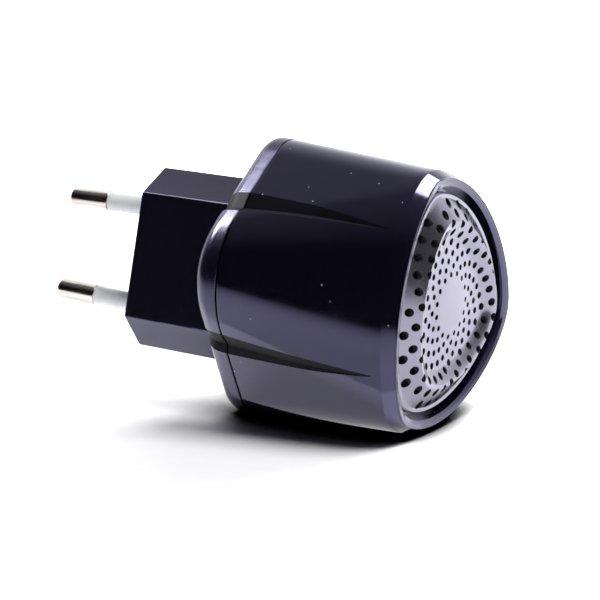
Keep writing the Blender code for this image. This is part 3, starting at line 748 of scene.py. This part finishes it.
def make_grille(mat):
    grille = link("grille_cover", grille_body())
    cut = grille.modifiers.new("perforations", "NODES")
    cut.node_group = perforation_tree()
    values = {
        "Rings": 14, "Holes per ring": 15, "First angle": math.radians(71.2), "Ring turn": math.radians(10.0),
        "First ring": 5.75 * MM, "Ring step": 1.42 * MM, "Ring power": 0.9, "Smallest hole": 0.49 * MM,
        "Largest hole": 0.90 * MM, "Plate size": GRILLE_SIZE * MM, "Plate lobe": GRILLE_LOBE * MM,
        "Plate border": GRILLE_LIP, "Plate level": (GRILLE_LEVEL - 0.5) * MM, "Finish": mat}
    for item in cut.node_group.interface.items_tree:
        if item.in_out == "INPUT" and item.name in values:
            cut[item.identifier] = values[item.name]
    baked(grille)
    return finish_piece(grille, [mat], ["grille"], crease=32.0)


# ---------------------------------------------------------------- plug pins

def turned_mesh(name, profile, steps=64):
    """Profile points are (radius, height along +X). The profile's two ends lie on the axis, or it is a loop."""
    turns = np.linspace(0.0, math.tau, steps, endpoint=False)
    rings = []
    for radius, height in profile:
        rings.append(np.stack([np.full(steps, height * MM), radius * np.cos(turns) * MM,
                               radius * np.sin(turns) * MM], 1))
    return grid_mesh(name, rings, endless=profile[0][0] > PIN_CORE_RADIUS)


def pin_pose(side):
    lean = math.atan2((PIN_SPACING_FACE - PIN_SPACING_TIP) / 2, PIN_LENGTH)
    base = Matrix.Translation((0.0, 0.0, side * PIN_SPACING_FACE / 2 * MM))
    return POSE @ base @ Matrix.Rotation(-side * lean, 4, "Y")


def make_pin(side, name, metal, nylon):
    bare_end = PIN_BARE - PIN_LENGTH
    rounding = 1.15
    profile = [(0.02, PIN_INNER_END), (PIN_CORE_RADIUS - 0.15, PIN_INNER_END),
               (PIN_CORE_RADIUS, PIN_INNER_END - 0.15), (PIN_CORE_RADIUS, bare_end)]
    profile += [(PIN_RADIUS - 0.12, bare_end), (PIN_RADIUS, bare_end - 0.12)]
    profile += [(PIN_RADIUS, bare_end - 4.0), (PIN_RADIUS, -PIN_LENGTH + rounding)]
    for turn in quarter_turn(9)[:-1]:
        profile.append((PIN_RADIUS - rounding * (1 - math.cos(turn)), -PIN_LENGTH + rounding * (1 - math.sin(turn))))
    profile += [(PIN_RADIUS - rounding, -PIN_LENGTH), (0.02, -PIN_LENGTH)]
    pin = link(name + "_turned", turned_mesh(name, profile))
    finish_piece(pin, [metal], [name], crease=25.0, pose=pin_pose(side))
    back = bare_end + 0.08
    lip = PIN_RADIUS + 0.05
    sleeve = [(SLEEVE_RADIUS, PLUG_WALL), (SLEEVE_RADIUS, -1.0), (SLEEVE_RADIUS, back + 1.5),
              (lip - 0.03, back + 1.15), (lip, back + 0.95), (lip, back + 0.15), (lip - 0.12, back),
              (SLEEVE_BORE, back), (SLEEVE_BORE, -1.0), (SLEEVE_BORE, PLUG_WALL)]
    cover = link(name + "_sleeve_moulded", turned_mesh(name + "_sleeve", sleeve))
    finish_piece(cover, [nylon], [name + "_sleeve"], crease=25.0, pose=pin_pose(side))
    return pin


# ---------------------------------------------------------------- studio

def make_floor():
    """A plain white table, lit a little past white. Away from the repeller the camera sees it as pure white.
    For reflected rays only, its colour is painted dark in front: a painted reflection of dark cloth
    that is not there. Where the repeller covers most of the sky, a painted shadow deepens the lamps'
    shadow, so that it reads as black at the contact."""
    mat, tree, shader = start_material("matt_white_table", "#F4F4F6", 0.9)
    tree.nodes.remove(shader)
    output = tree.nodes["Material Output"]
    place = add(tree, "ShaderNodeTexCoord").outputs["Object"]
    fibre = noise(tree, place, 0.004)
    colour = mixed(tree, fibre, linear("#F2F2F5"), linear("#F8F8FA"))
    rays = add(tree, "ShaderNodeLightPath").outputs
    # painted reflection: for reflected rays only, the table's colour turns dark in front, as if dark cloth lay there
    front = spread(tree, add(tree, "ShaderNodeSeparateXYZ", None, {0: place}).outputs["Y"], -0.05, -0.28)
    colour = mixed(tree, product_of(tree, front, rays["Is Glossy Ray"]), colour, linear("#101014"))
    # painted shadow: the table's colour is blended to near black where the repeller covers most of the sky
    open_sky = add(tree, "ShaderNodeAmbientOcclusion", {"samples": 16}, {"Distance": 0.026}).outputs["AO"]
    colour = mixed(tree, spread(tree, open_sky, 0.36, 0.62), linear("#050409"), colour)
    paper = add(tree, "ShaderNodeBsdfDiffuse", None, {"Color": colour})
    away = add(tree, "ShaderNodeVectorMath", {"operation": "LENGTH"}, {0: place}).outputs["Value"]
    strength = product_of(tree, spread(tree, away, 0.085, 0.24), rays["Is Camera Ray"])
    glow = add(tree, "ShaderNodeEmission", None, {"Color": (1.0, 1.0, 1.0, 1.0), "Strength": strength})
    lifted = add(tree, "ShaderNodeAddShader", None, {0: paper.outputs[0], 1: glow.outputs[0]})
    tree.links.new(lifted.outputs[0], output.inputs["Surface"])
    half = 2.5
    mesh = bpy.data.meshes.new("table")
    mesh.from_pydata([(-half, -half, 0), (half, -half, 0), (half, half, 0), (-half, half, 0)], [], [(0, 1, 2, 3)])
    mesh.materials.append(mat)
    link("table", mesh)


def make_surroundings():
    """A white backdrop, brightest low down behind the repeller, and a grey ceiling. The rest of the room is dark."""
    world = bpy.data.worlds.new("studio")
    bpy.context.scene.world = world
    world.use_nodes = True
    tree = world.node_tree
    tree.nodes.clear()
    direction = add(tree, "ShaderNodeTexCoord").outputs["Generated"]
    behind = add(tree, "ShaderNodeVectorMath", {"operation": "DOT_PRODUCT"},
                 {0: direction, 1: Vector((-0.2, 0.98, 0.0)).normalized()}).outputs["Value"]
    height = add(tree, "ShaderNodeSeparateXYZ", None, {0: direction}).outputs["Z"]
    backdrop = product_of(tree, spread(tree, behind, 0.1, 0.6), spread(tree, height, 1.0, 0.1))
    ceiling = product_of(tree, spread(tree, height, 0.6, 0.95), 0.2)
    reflected = add(tree, "ShaderNodeLightPath").outputs["Is Glossy Ray"]
    ceiling = product_of(tree, ceiling, reflected)
    level = sum_of(tree, sum_of(tree, product_of(tree, backdrop, 1.7), ceiling), 0.01)
    room = add(tree, "ShaderNodeBackground", None, {"Color": (0.97, 0.97, 1.0, 1.0), "Strength": level})
    white = add(tree, "ShaderNodeBackground", None, {"Color": (1.0, 1.0, 1.0, 1.0), "Strength": 1.0})
    seen = add(tree, "ShaderNodeLightPath").outputs["Is Camera Ray"]
    mix = add(tree, "ShaderNodeMixShader", None, {0: seen, 1: room.outputs[0], 2: white.outputs[0]})
    output = add(tree, "ShaderNodeOutputWorld")
    tree.links.new(mix.outputs[0], output.inputs["Surface"])


def add_softbox(name, place, aim, width, height, watts, only_on=None):
    """A softbox, placed and aimed in millimetres in the repeller's own axes. It lights everything, or
    is flagged so that it lights some pieces only."""
    data = bpy.data.lights.new(name, "AREA")
    data.shape = "RECTANGLE"
    data.size = width * MM
    data.size_y = height * MM
    data.energy = watts
    lamp = bpy.data.objects.new(name, data)
    lamp.visible_camera = False
    lamp.location = POSE @ (Vector(place) * MM)
    away = lamp.location - POSE @ (Vector(aim) * MM)
    lamp.rotation_euler = away.to_track_quat("Z", "Y").to_euler()
    bpy.context.scene.collection.objects.link(lamp)
    if only_on:
        lit = bpy.data.collections.new(name + "_lights")
        for piece in only_on:
            lit.objects.link(piece)
        lamp.light_linking.receiver_collection = lit
    return lamp


def over_table(x, y, z):
    """A place given in millimetres in the table's axes, turned into the repeller's own axes."""
    return POSE.inverted() @ (Vector((x, y, z)) * MM) / MM


def make_lights(cap, barrel, pins):
    """The large softbox gives the shadow, and the one low at the back lights the table behind.
    The others are small and near, and only give highlights: on the cap's rounded edge, along
    the plug's upper front edge, on the upper corner of the rim, along the pins, and
    from the table under the barrel."""
    add_softbox("overhead_softbox", (230, -50, 570), (25, 0, 0), 300, 300, 4.3)
    back = add_softbox("back_softbox", (-60, 529, 399), (25, 0, 0), 1000, 260, 12.0)
    back.visible_glossy = False
    add_softbox("left_strip", (-330, -60, 300), (22, -15, 12), 110, 90, 2.6, [cap])
    add_softbox("edge_card", (-45, -31, 115), (11, -6.9, 12), 44, 44, 0.05, [cap])
    add_softbox("rim_card", (71, 35, 163), (62, -12, 20), 80, 80, 0.2, [barrel])
    add_softbox("pin_card", (-85, 60, 115), (-12, 0, 0), 120, 120, 0.045, pins)
    add_softbox("bounce_card", over_table(4, -22, 0.8), over_table(4, -22, 30), 92, 19,
                0.004, [cap, barrel])


def make_camera():
    """A long lens, low in front of the grille's side, looking a little down."""
    data = bpy.data.cameras.new("camera")
    data.sensor_width = 36.0
    data.lens = 183.6
    data.shift_x = -0.002
    camera = bpy.data.objects.new("camera", data)
    place = Vector((297.5, -496.1, 18.4)) * MM
    right = Vector((0.870, 0.471, 0.145))
    back = Vector((0.470, -0.882, 0.039)).normalized()
    right = (right - back * right.dot(back)).normalized()
    up = back.cross(right)
    turn = Matrix((right, up, back)).transposed().to_4x4()
    camera.matrix_world = POSE @ Matrix.Translation(place) @ turn
    bpy.context.scene.collection.objects.link(camera)
    bpy.context.scene.camera = camera


# ---------------------------------------------------------------- assembly

def main():
    bpy.context.scene.view_settings.view_transform = "Standard"
    make_camera()
    make_floor()
    make_surroundings()
    finish_inner_parts()
    # the valleys' copy of the ABS that reflects little: painted shade
    rough = painted_shade_abs()
    cap = make_rear_cap([textured_abs(), rough])
    barrel = make_barrel([glossy_abs(), rough])
    make_grille(satin_paint())
    metal = nickel()
    nylon = sleeve_nylon()
    pins = [make_pin(1, "upper_pin", metal, nylon), make_pin(-1, "lower_pin", metal, nylon)]
    make_lights(cap, barrel, pins)


main()


def plain(box):
    return [[float(value) for value in corner] for corner in box]
